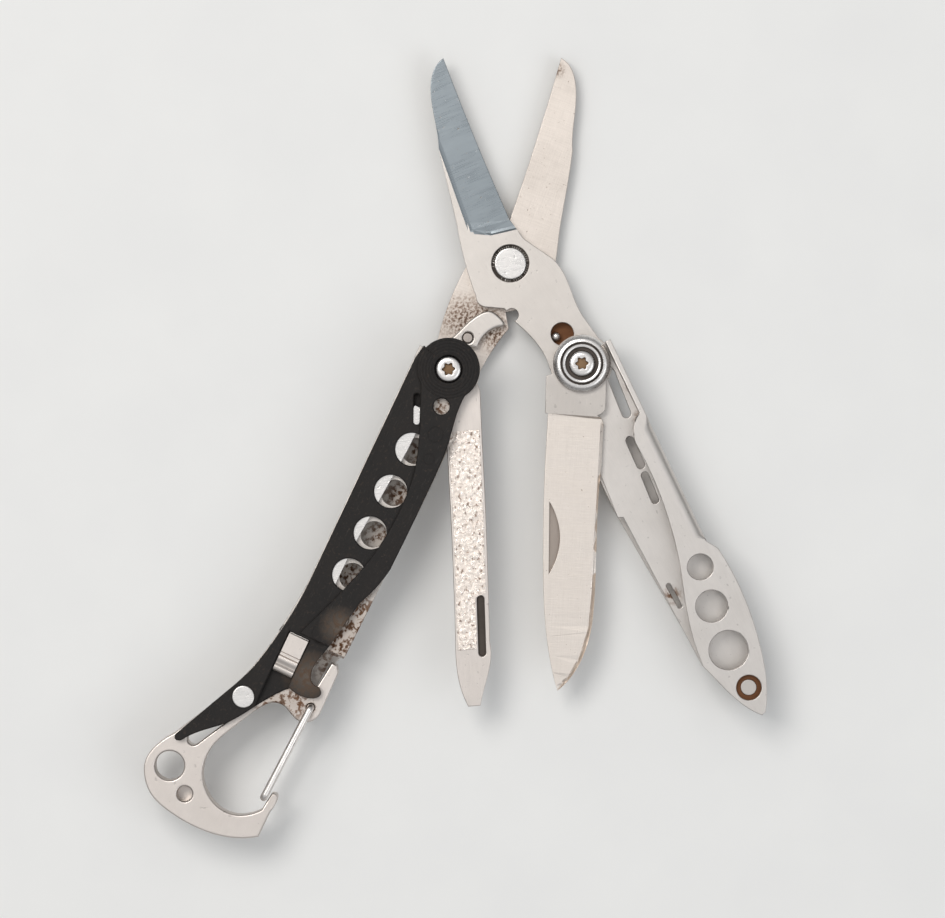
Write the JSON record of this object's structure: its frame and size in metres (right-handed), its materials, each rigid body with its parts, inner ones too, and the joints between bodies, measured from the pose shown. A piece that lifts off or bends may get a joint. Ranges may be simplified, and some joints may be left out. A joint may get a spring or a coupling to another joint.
{
  "type": "folding multi-tool",
  "caption": "Folding key-ring multi-tool with spring scissors, knife, nail file, tweezers and a wire-gate clip at one handle's tail.",
  "frame": {"origin": "centre of the bounding box in plan, on the plane the tool lies on", "axes": "+Z out of the front face, +Y up the middle of the open scissors towards their points"},
  "size_m": [0.0854, 0.1054, 0.0099],
  "materials": {
    "scissor_steel": "satin ground stainless",
    "knife_steel": "bright ground stainless",
    "file_steel": "coarse cut stainless",
    "handle_steel": "bead-blasted stainless sheet",
    "clip_steel": "tumbled stainless",
    "bright_steel": "turned bright steel",
    "inner_steel": "plain washer steel",
    "black_nylon": "glass-filled nylon, fine grain"
  },
  "bodies": {
    "front_blade": {"front_scissor_blade": "scissor_steel", "scissor_rivet": "bright_steel", "detent_leaf": "inner_steel", "detent_ball": "bright_steel"},
    "rear_blade": {"rear_scissor_blade": "scissor_steel", "lever_pin": "bright_steel"},
    "spring_lever": {"spring_lever": "scissor_steel"},
    "right_handle": {"right_handle_frame": "handle_steel", "right_pivot_post": "inner_steel", "right_pivot_ring": "bright_steel", "right_pivot_screw": "bright_steel", "right_rear_washer": "inner_steel", "right_tail_spacer": "inner_steel", "right_rear_spacer": "inner_steel", "right_tail_rivet": "bright_steel"},
    "left_handle": {"left_handle_frame": "handle_steel", "left_pivot_post": "inner_steel", "left_pivot_screw": "bright_steel", "left_rear_washer": "inner_steel", "file_washer": "inner_steel", "handle_scale": "black_nylon", "carabiner_plate": "clip_steel", "scale_rivet": "bright_steel", "left_rear_spacer": "inner_steel"},
    "knife": {"knife_blade": "knife_steel"},
    "nail_file": {"nail_file": "file_steel"},
    "tweezers": {"tweezer_arms": "clip_steel", "tweezer_head": "clip_steel"},
    "wire_gate": {"wire_gate": "clip_steel"}
  },
  "joints": [
    {"name": "scissor_pivot", "type": "hinge", "parent": "front_blade", "child": "rear_blade", "pos_m": [0.01041, 0.02413, 0.0024], "axis": [0, 0, 1], "range_deg": [0, 35.2], "stiffness_Nm_per_rad": 0.02, "springref_deg": -28.65},
    {"name": "right_handle_fold", "type": "hinge", "parent": "front_blade", "child": "right_handle", "pos_m": [0.01951, 0.0099, 0.0024], "axis": [0, 0, 1], "range_deg": [0, 169.2]},
    {"name": "left_handle_fold", "type": "hinge", "parent": "rear_blade", "child": "left_handle", "pos_m": [0.0013, 0.0099, 0.0024], "axis": [0, 0, 1], "range_deg": [-164.2, 0]},
    {"name": "knife_pivot", "type": "hinge", "parent": "right_handle", "child": "knife", "pos_m": [0.01951, 0.0099, 0.00475], "axis": [0, 0, 1], "range_deg": [-38, 29.5]},
    {"name": "file_pivot", "type": "hinge", "parent": "left_handle", "child": "nail_file", "pos_m": [0.0013, 0.0099, 0.00625], "axis": [0, 0, -1], "range_deg": [-38, 29.5]},
    {"name": "gate_pivot", "type": "hinge", "parent": "left_handle", "child": "wire_gate", "pos_m": [-0.01957, -0.03529, 0.00825], "axis": [0, 0, 1], "range_deg": [-25, 0], "stiffness_Nm_per_rad": 0.004, "springref_deg": 17.19},
    {"name": "tweezer_slide", "type": "slide", "parent": "left_handle", "child": "tweezers", "axis": [-0.4679, -0.8838, 0], "range_m": [0, 0.034]},
    {"name": "lever_pivot", "type": "hinge", "parent": "rear_blade", "child": "spring_lever", "pos_m": [0.00411, 0.01418, 0.0024], "axis": [0, 0, 1], "range_deg": [0, 63.9]}
  ],
  "couplings": [
    {"joint": "lever_pivot", "follows": "scissor_pivot", "ratio": 1.8}
  ]
}
